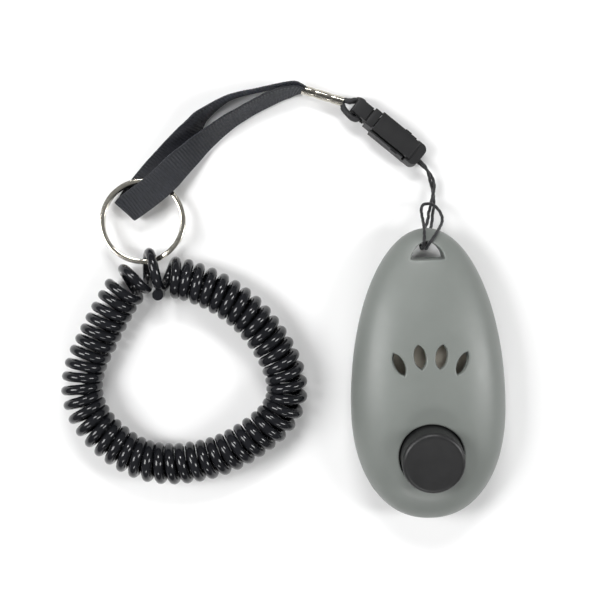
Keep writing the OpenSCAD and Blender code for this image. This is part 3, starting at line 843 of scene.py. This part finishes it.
def make_buckle(m):
    """The buckle in its own frame: X from the insert's head to the cord end, Z up."""
    base = (rect(6.6, -2.88, 17.2, 2.88), 0, 1.5, "z")
    core = (rect(6.6, 1.2, 17.2, 3.5), -1.95, 1.95, "y")
    lid = ([(6.6, 3.25), (17, 3.25), (18.1, 3), (18.1, 3.1), (17.4, 4), (6.75, 4), (6.6, 3.8)],
           -2.38, 2.38, "y")
    cord_end = ([(16.8, -2.88), (18.3, -2.88)] + arc(18.3, -1.3, 1.58, -90, -10, 6)[1:]
                + arc(18.3, 1.3, 1.58, 10, 90, 6)[:-1] + [(18.3, 2.88), (16.8, 2.88)], 0, 3.3, "z")
    moulded("buckle_body_moulded", [base, core, lid, cord_end], m["buckle"], "lanyard",
            "buckle_body", 0.18)

    head_top = ([(0, 2.9), (4.15, 2.9), (4.15, 3.8), (0.3, 3.8), (0, 3.5)], -1.88, 1.88, "y")
    head_floor = (rect(0, 0.3, 4.15, 1.1), -1.88, 1.88, "y")
    head_web = (rect(3.6, 0.9, 4.15, 3.2), -1.7, 1.7, "y")
    pin = (arc(0.9, -0.9, 0.6, 0, 330, 11), 0.8, 3.2, "z")
    neck = (rect(4, 0.6, 4.7, 3.4), -1.68, 1.68, "y")
    collar = (rect(4.5, 0.3, 6.5, 3.8), -2.28, 2.28, "y")
    tongue = (rect(6.2, -1.2, 14.4, 1.2), 2.05, 3.05, "z")
    moulded("buckle_insert_moulded", [head_top, head_floor, head_web, pin, neck, collar, tongue],
            m["buckle"], "insert", "buckle_insert", 0.14)

    for word, arm_y, grip_y in (("left", (2.5, 2.95), (2.7, 3.2)),
                                ("right", (-2.95, -2.5), (-3.2, -2.7))):
        arm = (rect(6.45, arm_y[0], 16.25, arm_y[1]), 1.65, 3.15, "z")
        grip = ([(12.8, grip_y[0]), (14.8, grip_y[0]), (14.6, grip_y[1]), (13, grip_y[1])],
                1.75, 3.05, "z")
        moulded(f"buckle_latch_{word}_moulded", [arm, grip], m["buckle"], f"latch_{word}",
                f"buckle_latch_{word}", 0.1)


def make_ferrule(m):
    """A rolled tube with an open seam along its top, nipped in at two crimps."""
    steps = 48
    seam = math.radians(100)
    half_gap = math.radians(5)
    a = seam + half_gap + (2 * math.pi - 2 * half_gap) * np.arange(steps + 1) / steps
    rows = []
    for d in np.linspace(0, FERRULE_LENGTH, 60):
        nip = 0.1 * hump(d - 3, 0.5) + 0.1 * hump(d - 6.9, 0.5)
        lip = 0.05 * hump(d, 0.3) + 0.05 * hump(d - FERRULE_LENGTH, 0.3)
        roll = 0.1 * hump(a - a[0], 0.22) + 0.1 * hump(a[-1] - a, 0.22)
        out = 1.1 - nip + lip - roll
        section = list(zip(out, a)) + list(zip(out[::-1] - 0.28, a[::-1]))
        rows.append([FERRULE_AT + FERRULE_ALONG * d + FERRULE_ACROSS * r * math.cos(t)
                     + np.array(UP) * r * math.sin(t) for r, t in section])
    pts = np.array(rows)
    ob = new_mesh("crimp_ferrule_rolled", pts.reshape(-1, 3), swept_faces(*pts.shape[:2]),
                  m["nickel"], 40)
    face_outwards(ob)
    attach(ob, "strap")
    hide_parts("crimp_ferrule")


def make_ring(m):
    """A split ring: a flat wire wound nearly twice, stepping from one level to the next."""
    first = -38
    coil_radius, half_w, half_h = 9.42, 0.575, 0.46
    section = [(x * half_w, y * half_h) for x, y in
               [(1, -0.5), (1, 0), (1, 0.5), (0.93, 0.8), (0.72, 0.97), (0.3, 1), (-0.3, 1),
                (-0.72, 0.97), (-0.93, 0.8), (-1, 0.5), (-1, 0), (-1, -0.5), (-0.93, -0.8),
                (-0.72, -0.97), (-0.3, -1), (0.3, -1), (0.72, -0.97), (0.93, -0.8)]]
    a = np.radians(first + np.linspace(2, 668, 420))
    level = 0.48 * (2 * smooth(316, 352, np.degrees(a) - first) - 1)
    pts = []
    for i, (t, h) in enumerate(zip(a, level)):
        # The wire is thinner at the first and last three points.
        f = min(1, 0.62 + 0.13 * min(i, len(a) - 1 - i))
        pts.append([((coil_radius + x * f) * math.cos(t), (coil_radius + x * f) * math.sin(t),
                     h + y * f) for x, y in section])
    pts = np.array(pts)
    faces = [f[::-1] for f in swept_faces(*pts.shape[:2])]
    place = Matrix.Translation(Vector(RING_AT)) @ Matrix.Rotation(RING_TILT, 4, "X")
    ob = new_mesh("split_ring_wound", pts.reshape(-1, 3), faces, m["nickel"], 40, place)
    face_outwards(ob)
    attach(ob, "ring")
    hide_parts("split_ring")


def dress_cad(m):
    """The pieces kept from the CAD, with the scene's materials."""
    # The click blade gets the steel whose colour is lifted as painted light, for where it lies in
    # shade behind the vents.
    for node, mat in (("click_blade", "steel"), ("case_screws", "zinc"), ("clamp_screws", "zinc"),
                      ("blade_clamp", "shell"), ("coil_join", "band")):
        materials = NODES[node].data.materials
        materials.clear()
        materials.append(m[mat])


# ---- floor and light -----------------------------------------------------------------------
FLOOR_HALF = 1500
FLOOR_POINTS = 24
LIGHT_AIM = (-20, 10, 0)
LIGHTS = (("key_left", (-400, 60, 400), (190, 300), 2.2),
          ("key_right", (430, 0, 340), (120, 260), 1.5),
          ("top", (-30, 440, 440), (240, 100), 1.7),
          ("near", (-30, -460, 380), (240, 100), 0.7))


def make_floor():
    m = Shader("pale_floor", Roughness=0.6)
    m.to("Base Color", m.ramp(m.noise(6, 2), (0.86, 0.86, 0.86), (0.9, 0.9, 0.9)))
    m.bump((m.noise(60, 2), 0.05, 0.0002))
    n = FLOOR_POINTS
    side = np.linspace(-FLOOR_HALF, FLOOR_HALF, n)
    x, y = np.meshgrid(side, side, indexing="ij")
    pts = np.column_stack([x.ravel(), y.ravel(), np.full(n * n, -0.05)])
    faces = [f[::-1] for f in grid_faces(n, n, wrap=False)]
    floor = new_mesh("floor", pts, faces, m.mat)


def make_lights():
    """A dim white world, four soft lights, and colours shown without a film look."""
    scene.view_settings.view_transform = "Standard"
    world = bpy.data.worlds.new("studio")
    world.use_nodes = True
    world.node_tree.nodes["Background"].inputs["Color"].default_value = (1, 1, 1, 1)
    world.node_tree.nodes["Background"].inputs["Strength"].default_value = 0.17
    scene.world = world
    for name, at, size, power in LIGHTS:
        data = bpy.data.lights.new(name, "AREA")
        data.shape = "RECTANGLE"
        data.size, data.size_y = size[0] * MM, size[1] * MM
        data.energy = power
        ob = add_object(name, data)
        place, aim = Vector(at) * MM, Vector(LIGHT_AIM) * MM
        turn = (aim - place).to_track_quat("-Z", "Y")
        ob.matrix_world = Matrix.Translation(place) @ turn.to_matrix().to_4x4()


make_camera()
mats = make_materials()

hitch, hitch_path = make_hitch(mats["cord"])
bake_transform(hitch)
loop, loop_path = make_loop(mats["cord"])
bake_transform(loop)
ribbon, ribbon_path = make_ribbon(mats["ribbon"])
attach(ribbon, "strap")
band, band_path = make_band(mats["band"])
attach(band, "band")

make_clicker(mats)
make_button(mats)
make_buckle(mats)
make_ferrule(mats)
make_ring(mats)
dress_cad(mats)
make_floor()
make_lights()
